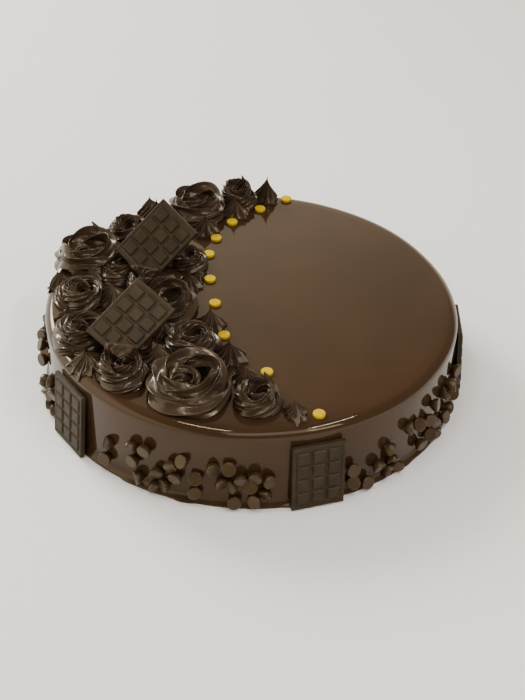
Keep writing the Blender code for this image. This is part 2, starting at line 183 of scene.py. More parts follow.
# How uneven a foot is, how far it is drawn in at the ground, and up to which level.
STAR_UNEVEN = 0.10
STAR_FOOT_DRAWN_IN = 0.14
STAR_FOOT_LEVEL = 0.05
PIPING_BASE = CAKE_HEIGHT + 0.1 * MM

# The course of a rope of cream: turns wound so far, then the distance of its centre
# line and its half width as shares of the radius, and its top as a share of the height.
ROSE_COURSE = (
    (0.0, 0.02, 0.17, 0.42), (0.14, 0.08, 0.18, 0.44), (0.38, 0.50, 0.15, 0.46),
    (0.72, 0.55, 0.18, 0.94), (1.0, 0.57, 0.20, 1.00), (1.5, 0.64, 0.24, 0.86),
    (2.0, 0.73, 0.29, 0.50),
)
SWIRL_COURSE = (
    (0.0, 0.02, 0.13, 0.48), (0.22, 0.20, 0.13, 0.56), (0.6, 0.42, 0.19, 0.96),
    (1.2, 0.60, 0.26, 0.92), (1.8, 0.74, 0.32, 0.52),
)
# Course, ridges, how deep the valleys between them are, how wide a crest is, and how
# far the ridges turn round the rope while it winds through the same angle.
ROSE_ROPE = (ROSE_COURSE, 5, 0.55, 0.20, 0.80)
SWIRL_ROPE = (SWIRL_COURSE, 10, 0.42, 0.26, 1.05)
# Points along a rope and from ridge to ridge.
ROSE_GRID = (260, 12)
SWIRL_GRID = (170, 8)
# First seeds for the draws of each kind.
ROSE_SEED = 10
SWIRL_SEED = 40
STAR_SEED = 80
# Turns before and after over which a course is rounded.
COURSE_ROUNDING = 0.1
# How far the grid's lines are crowded towards the ridges.
RIDGE_CROWDING = 0.11
# Waves of a rope along its course, as shares: two of its centre line, one of its width
# and one of its top, then two of the ridges' places and one of the valleys' depth.
ROPE_SWAY = (0.035, 0.015)
ROPE_WIDTH_WAVE = 0.05
ROPE_TOP_WAVE = 0.03
RIDGE_WANDER = (0.022, 0.012)
VALLEY_WAVE = 0.25
# The twist drawn for a rope lies between these shares of its kind's twist.
TWIST_SPREAD = (0.8, 1.15)
# Turns in which a rope grows from its nub, and turns before the tail at which it starts
# to thin, by this power, down to this share. Its top sinks to the last share with it.
NUB_TURNS = 0.12
THINNING_TURNS = 0.10
THINNING_POWER = 0.55
THINNEST = 0.03
LOWEST_TOP = 0.25
# Half the upright size of a rope as a share of its top, and how much of it a raised
# tail loses.
ROPE_UPRIGHT = 0.55
TAIL_FLATTENING = 0.7
# The foot of a rope: the power that squares it and how much it spreads below.
FOOT_SQUARING = 0.35
FOOT_SPREAD = 0.5
# How far the tail runs on past the end (degrees), rises and moves in (mm).
PLAIN_TAIL = (38, 0.0, 0.0)
TAILS = {
    "rose_front": (34, 0.0, 0.0),
    "rose_left": (60, 17.0, 2.0),
    "swirl_front_right": (55, 15.0, 3.5),
    "swirl_back_tip": (46, 17.0, 5.0),
}
# Share of a lap by which touching pieces press into each other.
PRESS_IN = 0.35
# How far cream may reach, as a share of its own radius.
CREAM_REACH = 1.3
# How near a piece's middle must be for a leaning plaque to press it, the width of the
# border in which the cream gives way, and how far it presses into the plaque's back.
PRESS_NEAR = 55 * MM
PRESS_MARGIN = 3 * MM
PRESS_BACK = 0.3 * MM
# The level up to which cream hides the plaque's sunk corner, and how much of its own
# relief it keeps there.
PLAQUE_SINK = 69 * MM
CLIMBING_RELIEF = 0.5
# Share of the rim's rounding past which cream sinks no further.
DRAPE_LIMIT = 0.97

# Lights: place, aim, two sides (m), power (W) and colour.
WHITE = (1.0, 1.0, 1.0)
WARM = (1.0, 0.98, 0.95)
LIGHTS = {
    "soft left": ((-0.97, 1.02, 0.95), (0.0, 0.0, 0.0), (0.60, 0.60), 31.0, WHITE),
    "soft front": ((0.30, -1.35, 1.35), (0.0, 0.0, 0.0), (1.2, 0.9), 9.5, WHITE),
    "strip left": ((-0.22, -0.22, 1.15), (0.0, -0.08, 0.0), (0.46, 0.03), 3.6, WARM),
    "strip right": ((0.52, -0.25, 1.15), (0.0, -0.08, 0.0), (0.52, 0.03), 5.2, WARM),
    "small right": ((0.80, -0.95, 0.95), (0.0, -0.05, 0.04), (0.40, 0.40), 4.0, WARM),
}
# The room: its two colours, the way to its bright part, and how far round from there
# (as a cosine) it is dark and then bright.
ROOM_DIM = (0.36, 0.29, 0.24)
ROOM_BRIGHT = (2.30, 2.16, 1.72)
ROOM_BRIGHT_WAY = (-0.55, 0.35, -0.76)
ROOM_FADE = (-0.26, -0.02)
FLOOR_REACH = 4.0
FLOOR_DROP = 0.3 * MM

# The photograph's camera: its place, its three axes, its sensor and its lens (mm).
CAMERA_PLACE = (0.0, -0.76954, 0.60213)
CAMERA_RIGHT = (0.99959, 0.01019, 0.02677)
CAMERA_UP = (-0.02746, 0.60615, 0.79487)
CAMERA_BACK = (-0.00812, -0.79528, 0.60618)
CAMERA_SENSOR = 36
CAMERA_LENS = 76.79


def outward(points, faces):
    """Turn the faces round if the volume that their quads enclose comes out negative."""
    a, b, c, d = (points[faces[0][:, corner]] for corner in range(4))
    if (a * (np.cross(b, c) + np.cross(c, d))).sum() > 0:
        return faces
    return [part[:, ::-1] for part in faces]


def add_piece(name, points, faces, material, node=None, sharp=180):
    """Make one mesh object from points and arrays of faces, on the cake's one body."""
    mesh = bpy.data.meshes.new(name)
    corners = [corner for part in outward(points, faces) for corner in part.tolist()]
    mesh.from_pydata(points.tolist(), [], corners)
    mesh.validate()
    mesh.materials.append(material)
    mesh.shade_smooth()
    if sharp < 180:
        mesh.set_sharp_from_angle(angle=math.radians(sharp))
    item = bpy.data.objects.new(name, mesh)
    bpy.context.scene.collection.objects.link(item)
    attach(item, "root")
    if node:
        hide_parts(node)
    return item


def closed_tube(rings):
    """Join rings of points (row, place, xyz) into a tube closed by a pole at each end."""
    rows, around, _ = rings.shape
    points = np.concatenate([rings.reshape(-1, 3), rings[:1].mean(axis=1), rings[-1:].mean(axis=1)])
    row, place = np.meshgrid(np.arange(rows - 1), np.arange(around), indexing="ij")
    here = (row * around + place).ravel()
    beside = (row * around + (place + 1) % around).ravel()
    quads = np.stack([here, beside, beside + around, here + around], axis=1)
    edge = np.arange(around)
    after = (edge + 1) % around
    last = (rows - 1) * around
    start = np.stack([after, edge, np.full(around, rows * around)], axis=1)
    end = np.stack([edge + last, after + last, np.full(around, rows * around + 1)], axis=1)
    return points, [quads, np.concatenate([start, end])]


def turned_rings(outline, around):
    """Rings of an outline of (radius, height) turned round +Z."""
    angle = TURN * np.arange(around) / around
    radius = outline[:, 0:1]
    height = np.broadcast_to(outline[:, 1:2], (len(outline), around))
    return np.stack([radius * np.cos(angle), radius * np.sin(angle), height], axis=2)


def repeated(rings, frames):
    """Copies of one closed tube, each carried by its own 4 x 4 frame, as one mesh."""
    points, faces = closed_tube(rings)
    placed = np.einsum("nij,vj->nvi", frames[:, :3, :3], points) + frames[:, None, :3, 3]
    step = len(points) * np.arange(len(frames))
    stacked = []
    for part in faces:
        stacked.append((part[None] + step[:, None, None]).reshape(-1, part.shape[1]))
    return placed, stacked


def quarter_round(edge, top, rounding, steps):
    """Outline of a quarter circle from an upright edge over to a flat top."""
    a = np.linspace(0, math.pi / 2, steps)
    return np.stack([edge - rounding * (1 - np.cos(a)), top - rounding * (1 - np.sin(a))], axis=1)


# ---- the glazed cake -------------------------------------------------------------

def cake_outline():
    """Outline of the cake: flared foot, straight wall, quarter-round rim, flat top."""
    t = np.linspace(0, 1, 9)
    foot = np.stack([CAKE_RADIUS + FOOT_FLARE * (1 - t) ** 2, FOOT_HEIGHT * t], axis=1)
    rise = np.linspace(FOOT_HEIGHT, CAKE_HEIGHT - RIM_ROUNDING, 14)[1:-1]
    wall = np.stack([np.full(len(rise), CAKE_RADIUS), rise], axis=1)
    rim = quarter_round(CAKE_RADIUS, CAKE_HEIGHT, RIM_ROUNDING, 17)
    inward = np.linspace(CAKE_RADIUS - RIM_ROUNDING, INNERMOST_RING, 24)[1:]
    top = np.stack([inward, np.full(len(inward), CAKE_HEIGHT)], axis=1)
    return np.concatenate([foot, wall, rim, top])


def sum_of_sines(waves, angle, level):
    """Sines of the angle, each with its count, start, drift with the level and share."""
    return sum(share * np.sin(count * angle + start + drift * level)
               for count, start, drift, share in waves)


def cake_piece(material):
    """The glazed cake: its outline turned round, with slow waves and pools of glaze.

    The radius grows and shrinks by a sum of slow sines of the angle, each drifting with
    the height. This fades out on the top, between 0.95 and 0.90 of the radius. At the
    foot the glaze has run out into pools: the radius grows by another sum of sines,
    where it is above nothing, times a bell curve of the height over the ground.
    """
    outline = cake_outline()
    radius, height = outline[:, 0:1], outline[:, 1:2]
    rings = turned_rings(outline, CAKE_AROUND)
    angle = np.arctan2(rings[:, :, 1], rings[:, :, 0])
    level = height / CAKE_HEIGHT
    on_wall = np.clip((radius - 0.90 * CAKE_RADIUS) / (0.05 * CAKE_RADIUS), 0, 1)
    pool = np.clip(sum_of_sines(POOL_WAVES, angle, level), 0, 2)
    swell = GLAZE_WAVE * sum_of_sines(GLAZE_WAVES, angle, level) * on_wall
    swell += POOL_REACH * pool * np.exp(-(height / POOL_HEIGHT) ** 2)
    rings[:, :, :2] *= ((radius + swell) / radius)[:, :, None]
    points, faces = closed_tube(rings)
    return add_piece("glazed_cake", points, faces, material, "cake")


# ---- chips and confetti ----------------------------------------------------------

def side_plaque_angle(index):
    """Direction of a side plaque from the cake's axis."""
    return TURN * index / SIDE_PLAQUES


def chip_places():
    """Places and tilts of the chips, by the same seeded draws as in the solids.

    The angle is drawn evenly along a stretch and the height by a power of an even draw,
    so that the heap thins out upward. A chip too near an earlier one is drawn again.
    """
    stretch = TURN / SIDE_PLAQUES - 2 * CHIP_MARGIN
    radius = CAKE_RADIUS + CHIP_RADIUS
    places = []
    for index, seed in enumerate(CHIP_SEEDS):
        draw = random.Random(seed)
        heap = []
        while len(heap) < CHIPS_PER_STRETCH:
            angle = side_plaque_angle(index) + CHIP_MARGIN + draw.random() * stretch
            height = CHIP_LOWEST + CHIP_SPREAD * draw.random() ** CHIP_THINNING
            tilts = [draw.uniform(-most, most) for most in CHIP_TILTS]
            centre = Vector((radius * math.cos(angle), radius * math.sin(angle), height))
            if all((centre - other[0]).length > CHIP_APART for other in heap):
                heap.append((centre, angle, tilts))
        places += heap
    return places


def chip_frame(centre, angle, tilts):
    """Frame of a chip whose +Z points from the flat base to the tip, into the wall."""
    inward = Matrix.Rotation(angle, 4, "Z") @ Matrix.Rotation(-TURN / 4, 4, "Y")
    sideways = Matrix.Rotation(math.radians(tilts[0]), 4, "X")
    upward = Matrix.Rotation(math.radians(tilts[1]), 4, "Y")
    return Matrix.Translation(centre) @ inward @ sideways @ upward


def chips_piece(material):
    """All chips: one turned drop shape, repeated, each pressed into the wall.

    A chip is lifted until it clears the ground and moved towards the cake's axis until
    its nearest point is inside the wall by the bite.
    """
    outline = np.array(CHIP_OUTLINE) * (CHIP_RADIUS, CHIP_HEIGHT)
    places = chip_places()
    frames = np.array([chip_frame(*place) for place in places])
    placed, faces = repeated(turned_rings(outline, CHIP_AROUND), frames)
    angle = np.array([place[1] for place in places])
    lift = np.maximum(0, GAP - placed[:, :, 2].min(axis=1))
    nearest = np.hypot(placed[:, :, 0], placed[:, :, 1]).min(axis=1)
    inward = nearest - (CAKE_RADIUS - CHIP_BITE)
    placed += np.stack([-inward * np.cos(angle), -inward * np.sin(angle), lift], axis=1)[:, None, :]
    return add_piece("chocolate_chips", placed.reshape(-1, 3), faces, material, sharp=40)


def confetti_places():
    """Places of the tablets on the top: steps from the arc's centre, by way and reach."""
    way = np.radians([direction for direction, _ in CONFETTI_ARC])
    reach = MM * np.array([distance for _, distance in CONFETTI_ARC])
    return CONFETTI_ARC_CENTRE + np.stack([reach * np.cos(way), reach * np.sin(way)], axis=1)


def confetti_piece(material):
    """All sugar tablets: one turned disc with a soft edge, repeated along the arc."""
    foot = [(CONFETTI_RADIUS - CONFETTI_EDGE, -CONFETTI_SUNK), (CONFETTI_RADIUS, CONFETTI_FOOT)]
    edge = quarter_round(CONFETTI_RADIUS, CONFETTI_THICKNESS, CONFETTI_EDGE, 5)
    crown = [(CONFETTI_RADIUS / 2, CONFETTI_THICKNESS + CONFETTI_CROWN)]
    outline = np.concatenate([foot, edge, crown])
    frames = np.repeat(np.eye(4)[None], len(CONFETTI_ARC), axis=0)
    frames[:, :2, 3] = confetti_places()
    frames[:, 2, 3] = CAKE_HEIGHT
    placed, faces = repeated(turned_rings(outline, CONFETTI_AROUND), frames)
    return add_piece("sugar_confetti", placed.reshape(-1, 3), faces, material, sharp=50)


# ---- moulded plaques -------------------------------------------------------------

def plaque_lines(size, frame_width, squares):
    """Grid lines across a plaque, close together on the slopes of its relief."""
    field = size - 2 * frame_width
    step = field / squares
    slope = np.array(PLAQUE_SLOPE_LINES) * PLAQUE_BEVEL
    rim = size / 2 - PLAQUE_EDGE
    frame_foot = field / 2 + PLAQUE_FRAME_SLOPE
    lines = [-rim, -frame_foot]
    for k in range(squares):
        start = -field / 2 + k * step + PLAQUE_GROOVE / 2
        end = start + step - PLAQUE_GROOVE
        lines += list(start + slope) + list(end - slope[::-1])
    lines += [frame_foot, rim]
    return np.array(lines)


def rise_of_squares(place, size, frame_width, squares):
    """0 in the grooves and 1 on the squares along one direction, with straight slopes."""
    field = size - 2 * frame_width
    step = field / squares
    within = (place + field / 2) % step
    inset = np.minimum(within, step - within) - PLAQUE_GROOVE / 2
    t = np.clip(inset / PLAQUE_BEVEL, 0, 1)
    return np.where(np.abs(place) < field / 2, t, 0)


def rise_of_frame(place, size, frame_width):
    """1 on the frame and 0 inside it along one direction."""
    inset = np.abs(place) - (size / 2 - frame_width)
    return np.clip(inset / PLAQUE_FRAME_SLOPE, 0, 1)


def plaque_face():
    """The face of a plaque as a grid of points (across, along, xyz) over z = 0.

    Its height is the slab, plus the relief times the product of the two rises of the
    squares, plus the frame's own lower rise.
    """
    x, y = np.meshgrid(plaque_lines(PLAQUE_WIDTH, PLAQUE_SIDE_FRAME, PLAQUE_COLUMNS),
                       plaque_lines(PLAQUE_LENGTH, PLAQUE_END_FRAME, PLAQUE_ROWS), indexing="ij")
    raised = rise_of_squares(x, PLAQUE_WIDTH, PLAQUE_SIDE_FRAME, PLAQUE_COLUMNS)
    raised = raised * rise_of_squares(y, PLAQUE_LENGTH, PLAQUE_END_FRAME, PLAQUE_ROWS)
    border = np.maximum(rise_of_frame(x, PLAQUE_WIDTH, PLAQUE_SIDE_FRAME),
                        rise_of_frame(y, PLAQUE_LENGTH, PLAQUE_END_FRAME))
    return np.stack([x, y, PLAQUE_SLAB + PLAQUE_RELIEF * raised + PLAQUE_FRAME_RISE * border], axis=2)


def plaque_surface():
    """A closed plaque with its back on z = 0: its face, a rounded rim and a flat back.

    The edge of the face is carried outward and down on a quarter circle, and then down
    to the back, which closes at a pole.
    """
    grid = plaque_face()
    across, along, _ = grid.shape
    face = grid.reshape(-1, 3)
    number = np.arange(across * along).reshape(across, along)
    quads = np.stack([number[:-1, :-1], number[1:, :-1], number[1:, 1:], number[:-1, 1:]], axis=2)
    quads = quads.reshape(-1, 4)
    loop = np.concatenate([number[:-1, 0], number[-1, :-1], number[:0:-1, -1], number[0, :0:-1]])
    rim = face[loop]
    corner = np.array([PLAQUE_WIDTH / 2 - PLAQUE_EDGE, PLAQUE_LENGTH / 2 - PLAQUE_EDGE, 1])
    way = np.sign(rim) * (np.abs(rim) > corner - 0.001 * MM)
    rings = []
    for a in np.linspace(0, math.pi / 2, 5)[1:]:
        down = (0, 0, PLAQUE_EDGE * (1 - math.cos(a)))
        rings.append(rim + way * PLAQUE_EDGE * math.sin(a) - down)
    rings.append(rings[-1] * (1, 1, 0))
    points = np.concatenate([face, *rings, [[0, 0, 0]]])
    numbers = [loop] + [len(face) + len(loop) * k + np.arange(len(loop)) for k in range(len(rings))]
    for upper, lower in zip(numbers, numbers[1:]):
        band = np.stack([upper, lower, np.roll(lower, -1), np.roll(upper, -1)], axis=1)
        quads = np.concatenate([quads, band])
    pole = np.full(len(loop), len(points) - 1)
    back = np.stack([np.roll(numbers[-1], -1), numbers[-1], pole], axis=1)
    return points, [quads, back]


def plaque_frame(centre, face, up):
    """Frame whose +Z is the way the face looks and whose +Y is the way up the plaque."""
    normal = Vector(face).normalized()
    rise = Vector(up)
    rise = (rise - normal * rise.dot(normal)).normalized()
    across = rise.cross(normal)
    made = Matrix((across, rise, normal)).transposed().to_4x4()
    made.translation = Vector(centre)
    return made


def top_plaque_frame(name):
    """Frame of a plaque that leans in the cream on the top."""
    centre, face, up = TOP_PLAQUES[name]
    return plaque_frame([MM * value for value in centre], face, up)


def side_plaque_frame(index):
    """A side plaque stands on its short edge and leans its back against the wall."""
    angle = side_plaque_angle(index)
    outward_way = Vector((math.cos(angle), math.sin(angle), 0))
    up = -outward_way * math.sin(SIDE_PLAQUE_LEAN) + Vector((0, 0, math.cos(SIDE_PLAQUE_LEAN)))
    face = outward_way * math.cos(SIDE_PLAQUE_LEAN) + Vector((0, 0, math.sin(SIDE_PLAQUE_LEAN)))
    top_of_back = outward_way * (CAKE_RADIUS + GAP)
    top_of_back.z = PLAQUE_LENGTH * math.cos(SIDE_PLAQUE_LEAN) + GAP
    return plaque_frame(top_of_back - up * PLAQUE_LENGTH / 2, face, up)


def plaque_pieces(material):
    """Every plaque: the one surface, placed by each plaque's frame."""
    frames = {f"side_plaque_{k + 1}": side_plaque_frame(k) for k in range(SIDE_PLAQUES)}
    frames.update({name: top_plaque_frame(name) for name in TOP_PLAQUES})
    points, faces = plaque_surface()
    for name, made in frames.items():
        made = np.array(made)
        placed = points @ made[:3, :3].T + made[:3, 3]
        add_piece(f"moulded_{name}", placed, faces, material, name, sharp=50)


# ---- piped cream -----------------------------------------------------------------

def piping_discs():
    """Every piped piece as a disc: x, y and radius in metres."""
    discs = {}
    for group in (ROSES, SWIRLS, STARS):
        for name, values in group.items():
            discs[name] = tuple(MM * value for value in values[:3])
    return discs


def pressed_together(name, points, discs):
    """Pull points back over the upright plane between two touching pieces.

    The plane stands on the chord that two overlapping discs share. What lies beyond it
    is pulled back to it, all but a share, so that neighbours press into each other.
    """
    x, y, radius = discs[name]
    for other, (other_x, other_y, other_radius) in discs.items():
        away = np.array([other_x - x, other_y - y])
        distance = np.hypot(*away)
        if other == name or distance > radius + other_radius:
            continue
        away /= distance
        chord = (distance ** 2 + radius ** 2 - other_radius ** 2) / (2 * distance)
        beyond = np.maximum(0, (points[..., :2] - (x, y)) @ away - chord)
        points[..., :2] -= (1 - PRESS_IN) * beyond[..., None] * away
    return points


def stopped_at_confetti(name, points, discs):
    """Pull points back to an upright plane just short of each sugar tablet nearby."""
    x, y, radius = discs[name]
    for place in confetti_places():
        away = place - (x, y)
        distance = np.hypot(*away)
        if distance < CREAM_REACH * radius + CONFETTI_RADIUS:
            away /= distance
            beyond = (points[..., :2] - (x, y)) @ away - (distance - CONFETTI_RADIUS - GAP)
            points[..., :2] -= np.maximum(0, beyond)[..., None] * away
    return points


def pressed_by_plaques(points):
    """Lay cream against a leaning plaque: flat on its back, or over its sunk corner.

    In the plaque's own frame a point keeps its place and changes its height over the
    back. A piece behind is held at the back. A piece before the face climbs onto it,
    with a share of its own relief, where the face is lower than the cream is high, and
    goes under the plaque elsewhere. The hold fades out over the press margin.
    """
    flat = points.reshape(-1, 3)
    middle = (flat.min(axis=0) + flat.max(axis=0)) / 2
    for name in TOP_PLAQUES:
        made = np.array(top_plaque_frame(name))
        turn, centre = made[:3, :3], made[:3, 3]
        place = (middle - centre) @ turn
        if np.hypot(place[0], place[1]) > PRESS_NEAR:
            continue
        relief = CLIMBING_RELIEF * (points[..., 2] - PIPING_BASE)
        local = (points - centre) @ turn
        inset = np.minimum(PLAQUE_WIDTH / 2 - np.abs(local[..., 0]),
                           PLAQUE_LENGTH / 2 - np.abs(local[..., 1]))
        hold = np.clip(1 + inset / PRESS_MARGIN, 0, 1)
        held = np.minimum(local[..., 2], PRESS_BACK)
        if place[2] > 0:
            face_level = centre[2] + local[..., :2] @ turn[2, :2]
            climb = np.clip((PLAQUE_SINK - face_level) / PRESS_MARGIN, 0, 1)
            over = np.maximum(local[..., 2], PLAQUE_SLAB + PLAQUE_RELIEF + relief)
            held += climb * (over - held)
        local[..., 2] += hold * (held - local[..., 2])
        points = local @ turn.T + centre
    return points


def draped_over_rim(points):
    """Let cream that reaches past the flat top sink along the quarter circle of the rim."""
    past = np.hypot(points[..., 0], points[..., 1]) - (CAKE_RADIUS - RIM_ROUNDING)
    past = np.clip(past, 0, DRAPE_LIMIT * RIM_ROUNDING)
    points[..., 2] -= RIM_ROUNDING - np.sqrt(RIM_ROUNDING ** 2 - past ** 2)
    return points


def along_course(course, turns):
    """The columns of a course at any number of turns, straight between its rows.

    Each value is the mean over a short way before and after, which rounds the corners.
    """
    rows = np.array(course)
    shifts = np.linspace(-COURSE_ROUNDING, COURSE_ROUNDING, 9)
    return [np.mean([np.interp(turns + shift, rows[:, 0], column) for shift in shifts], axis=0)
            for column in rows[:, 1:].T]


def ridge_shares(ridges, per_ridge):
    """Shares of the way round over all ridges, crowded towards each ridge by a sine."""
    share = np.arange(per_ridge) / per_ridge
    share = share - RIDGE_CROWDING * np.sin(TURN * share)
    return (np.arange(ridges)[:, None] + share[None, :]).ravel() / ridges


def ridge_profile(share, crest):
    """1 on the ridges and 0 halfway between: a narrow round crest over a broad valley."""
    rise = 1 / (1 + (np.sin(math.pi * share) / crest) ** 2)
    lowest = 1 / (1 + 1 / crest ** 2)
    return (rise - lowest) / (1 - lowest)


def rope_line(values, course, tail, turns, phase):
    """Angle, reach, half width, middle height and half height of a rope along its turns.

    The reach, half width and top follow the course, each with small slow sines of the
    angle. Width and top grow from the nub as a quarter circle and thin towards the end
    by a power. Past the end the middle rises and moves in, as the tail says.
    """
    _, _, radius, height, finish = values
    tail_degrees, tail_rise, tail_in = tail
    last = course[-1][0]
    reach, girth, top = along_course(course, turns)
    over = np.clip((turns - last) * 360 / tail_degrees, 0, 1)
    angle = math.radians(finish) + TURN * (turns - last)
    sway = ROPE_SWAY[0] * np.sin(2 * angle + phase[0]) + ROPE_SWAY[1] * np.sin(5 * angle + phase[1])
    nub = np.clip(turns / NUB_TURNS, 0, 1)
    ending = np.clip((turns[-1] - turns) / (tail_degrees / 360 + THINNING_TURNS), 0, 1) ** THINNING_POWER
    taper = np.sqrt(nub * (2 - nub)) * (THINNEST + (1 - THINNEST) * ending)
    reach = radius * MM * (reach + sway * np.clip(turns, 0, 1)) - tail_in * MM * over
    girth = radius * MM * girth * taper * (1 + ROPE_WIDTH_WAVE * np.sin(3 * angle + phase[2]))
    top = height * MM * top * (LOWEST_TOP + (1 - LOWEST_TOP) * taper)
    top = top * (1 + ROPE_TOP_WAVE * np.sin(2 * angle + phase[3]))
    upright = ROPE_UPRIGHT * top * np.where(tail_rise > 0, 1 - TAIL_FLATTENING * over, 1)
    middle = top - upright + tail_rise * MM * over ** 1.5
    return angle, reach, girth, middle, upright


def rope_surface(values, rope, tail, seed, grid):
    """A rope of cream from a star nozzle, wound outward in a flat spiral.

    The rope's section is an ellipse that widens to a foot below its middle. Its reach
    dips between narrow round crests by a valley depth that drifts along the rope. The
    ridges turn round the rope as it winds, and the lines of the grid follow them. What
    would lie under the base is laid flat on it.
    """
    course, ridges, valley, crest, twist = rope
    rows, per_ridge = grid
    draw = np.random.default_rng(seed)
    phase = draw.uniform(0, TURN, 4)
    twist = twist * draw.uniform(*TWIST_SPREAD)
    ridges = ridges + draw.integers(0, 2)
    turns = np.linspace(0, course[-1][0] + tail[0] / 360, rows)
    angle, reach, girth, middle, upright = [
        column[:, None] for column in rope_line(values, course, tail, turns, phase)]
    between = ridge_shares(ridges, per_ridge)
    shifted = between + RIDGE_WANDER[0] * np.sin(2 * TURN * between + phase[0])
    shifted += RIDGE_WANDER[1] * np.sin(5 * TURN * between + phase[1])
    around = TURN * (shifted + twist * turns[:, None]) + phase[3]
    deep = valley * (1 + VALLEY_WAVE * np.sin(3 * TURN * between + 4 * angle + phase[2]))
    section = 1 - deep * (1 - ridge_profile(ridges * between, crest))
    sideways, rise = np.cos(around), np.sin(around)
    foot = np.sign(sideways) * np.abs(sideways) ** FOOT_SQUARING * (1 + FOOT_SPREAD * rise ** 2)
    sideways = np.where(rise < 0, foot, sideways)
    flat = reach + girth * section * sideways
    level = np.maximum(0, middle + upright * section * rise)
    return np.stack([values[0] * MM + flat * np.cos(angle), values[1] * MM + flat * np.sin(angle),
                     PIPING_BASE + level], axis=2)


def star_surface(values, trail, seed):
    """A star drop: ribs that flare at the foot and twist up into a pulled, curled tip.

    The reach at a level is the radius times a power of what is left of the height,
    which leaves a wide foot and a thin tip. It is drawn in a little at the ground by a
    bell curve. Between round ribs it dips by the valley depth, half of it at the ground,
    all of it from a fifth of the height and less towards the tip. A trail widens the
    foot one way. The axis leans by the curl times a power of the level.
    """
    x, y, radius, height, way, curl = values
    trail_way, trail_share = trail
    draw = np.random.default_rng(seed)
    level = np.linspace(0, 1, STAR_ROWS)[:, None]
    left = 1 - level
    between = ridge_shares(STAR_RIDGES, STAR_PER_RIDGE)[None, :]
    angle = TURN * between + STAR_TURN * level + draw.uniform(0, TURN)
    width = np.maximum(left ** STAR_FALL * (1 + STAR_FULLNESS * level), STAR_TIP)
    uneven = 1 + STAR_UNEVEN * np.sin(3 * TURN * between + draw.uniform(0, TURN)) * left
    drawn_in = 1 - STAR_FOOT_DRAWN_IN * np.exp(-(level / STAR_FOOT_LEVEL) ** 2)
    valley = STAR_VALLEY * left ** 0.25 * np.clip(0.5 + 2.5 * level, 0, 1)
    dip = valley * (1 - ridge_profile(STAR_RIDGES * between, STAR_CREST))
    reach = radius * MM * width * uneven * drawn_in * (1 - dip)
    facing = np.maximum(0, np.cos(angle - math.radians(trail_way)))
    reach = reach * (1 + trail_share * facing ** 6 * left ** 2)
    lean = MM * curl * level ** 2.5
    lean_way = math.radians(way) + STAR_TURN * level
    return np.stack([x * MM + reach * np.cos(angle) + lean * np.cos(lean_way),
                     y * MM + reach * np.sin(angle) + lean * np.sin(lean_way),
                     np.broadcast_to(PIPING_BASE + height * MM * level, reach.shape)], axis=2)


def piping_pieces(material):
    """The crescent of roses, swirls and star drops."""
    discs = piping_discs()
    made = {}
    for group, rope, first_seed, grid in ((ROSES, ROSE_ROPE, ROSE_SEED, ROSE_GRID),
                                          (SWIRLS, SWIRL_ROPE, SWIRL_SEED, SWIRL_GRID)):
        for seed, (name, values) in enumerate(group.items(), first_seed):
            made[name] = rope_surface(values, rope, TAILS.get(name, PLAIN_TAIL), seed, grid)
    for seed, (name, values) in enumerate(STARS.items(), STAR_SEED):
        made[name] = star_surface(values, STAR_TRAILS.get(name, (0, 0)), seed)
    for name, rings in made.items():
        rings = pressed_together(name, rings, discs)
        rings = stopped_at_confetti(name, rings, discs)
        rings = draped_over_rim(pressed_by_plaques(rings))
        points, faces = closed_tube(rings)
        add_piece(f"piped_{name}", points, faces, material, name)


# ---- materials -------------------------------------------------------------------

def new_material(name):
    """A material with its node tree, and its shader and object coordinates."""
    material = bpy.data.materials.new(name)
    material.use_nodes = True
    tree = material.node_tree
    coordinates = tree.nodes.new("ShaderNodeTexCoord")
    return material, tree, tree.nodes["Principled BSDF"], coordinates.outputs["Object"]


def noise(tree, place, scale, detail):
    """Noise over the object coordinates, from 0 to 1."""
    node = tree.nodes.new("ShaderNodeTexNoise")
    node.inputs["Scale"].default_value = scale
    node.inputs["Detail"].default_value = detail
    tree.links.new(place, node.inputs["Vector"])
    return node.outputs["Fac"]


def colour_between(tree, amount, low, high, dark, light):
    """A ramp from a dark to a light colour as the amount goes from low to high."""
    ramp = tree.nodes.new("ShaderNodeValToRGB")
    ramp.color_ramp.elements[0].position = low
    ramp.color_ramp.elements[0].color = (*dark, 1)
    ramp.color_ramp.elements[1].position = high
    ramp.color_ramp.elements[1].color = (*light, 1)
    tree.links.new(amount, ramp.inputs["Fac"])
    return ramp.outputs["Color"]


def map_range(tree, amount, low, high, start, end):
    """The start value up to the low amount, the end value from the high one."""
    node = tree.nodes.new("ShaderNodeMapRange")
    node.inputs["From Min"].default_value = low
    node.inputs["From Max"].default_value = high
    node.inputs["To Min"].default_value = start
    node.inputs["To Max"].default_value = end
    tree.links.new(amount, node.inputs["Value"])
    return node.outputs["Result"]


def mottled(name, colours, spread, clouds, roughness, sheen, grain, depth, specular, tint):
    """A material that drifts between two colours and two roughnesses, with a fine grain.

    The clouds of colour, the sheen and the grain are noises, each with its scale and its
    detail. The spread gives the amounts of cloud at which the two colours are reached,
    and the depth is how high the grain stands.
    """
    material, tree, shader, place = new_material(name)
    colour = colour_between(tree, noise(tree, place, *clouds), *spread, *colours)
    tree.links.new(colour, shader.inputs["Base Color"])
    uneven = map_range(tree, noise(tree, place, *sheen), 0.3, 0.7, *roughness)
    tree.links.new(uneven, shader.inputs["Roughness"])
    bump = tree.nodes.new("ShaderNodeBump")
    bump.inputs["Strength"].default_value = 1.0
    bump.inputs["Distance"].default_value = depth
    tree.links.new(noise(tree, place, *grain), bump.inputs["Height"])
    tree.links.new(bump.outputs["Normal"], shader.inputs["Normal"])
    shader.inputs["Specular IOR Level"].default_value = specular
    shader.inputs["Specular Tint"].default_value = (*tint, 1)
    return material


